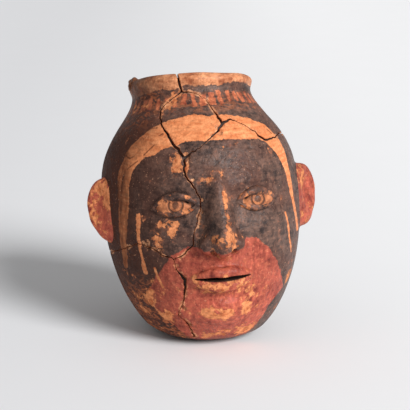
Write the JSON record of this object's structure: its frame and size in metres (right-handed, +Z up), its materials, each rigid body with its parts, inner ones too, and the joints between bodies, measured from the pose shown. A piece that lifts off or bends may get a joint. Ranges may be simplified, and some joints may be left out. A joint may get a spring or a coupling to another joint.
{
  "type": "ceramic portrait vessel",
  "caption": "Free-standing head-shaped ceramic jar with a coil rim and luted ears, slip painted, broken and glued together again from its sherds.",
  "frame": {"origin": "underside of the base, where the axis of the leaning jar meets it", "axes": "+Z up, -Y the way the face looks, +X the figure's left"},
  "size_m": [0.1392, 0.1436, 0.156],
  "materials": {
    "body_clay": "burnished dark and red slip with cream orange bands, worn to the orange clay",
    "base_clay": "bare scuffed clay",
    "rim_clay": "worn orange slip",
    "ear_clay": "satin red slip",
    "feature_clay": "slip worn to the orange clay",
    "old_glue": "dull dark glue"
  },
  "bodies": {
    "root": {"forehead_sherd": "body_clay", "left_crown_sherd": "body_clay", "right_temple_sherd": "body_clay", "face_sherd": "body_clay", "right_jaw_sherd": "body_clay", "back_left_sherd": "body_clay", "back_right_sherd": "body_clay", "back_lower_sherd": "body_clay", "base_disc": "base_clay", "rim_left_segment": "rim_clay", "rim_right_segment": "rim_clay", "rim_lug": "rim_clay", "left_ear": "ear_clay", "right_ear": "ear_clay", "nose": "feature_clay", "left_eyeball": "feature_clay", "right_eyeball": "feature_clay", "left_upper_lid": "feature_clay", "left_lower_lid": "feature_clay", "right_upper_lid": "feature_clay", "right_lower_lid": "feature_clay", "upper_lip": "feature_clay", "lower_lip": "feature_clay", "glue_rim_front": "old_glue", "glue_rim_back": "old_glue", "glue_forehead_right": "old_glue", "glue_forehead_left": "old_glue", "glue_brow": "old_glue", "glue_left_crown": "old_glue", "glue_nose_side": "old_glue", "glue_right_cheek": "old_glue", "glue_mouth_corner": "old_glue", "glue_chin": "old_glue", "glue_back_crown": "old_glue", "glue_back_left": "old_glue", "glue_back_right": "old_glue"}
  },
  "joints": []
}
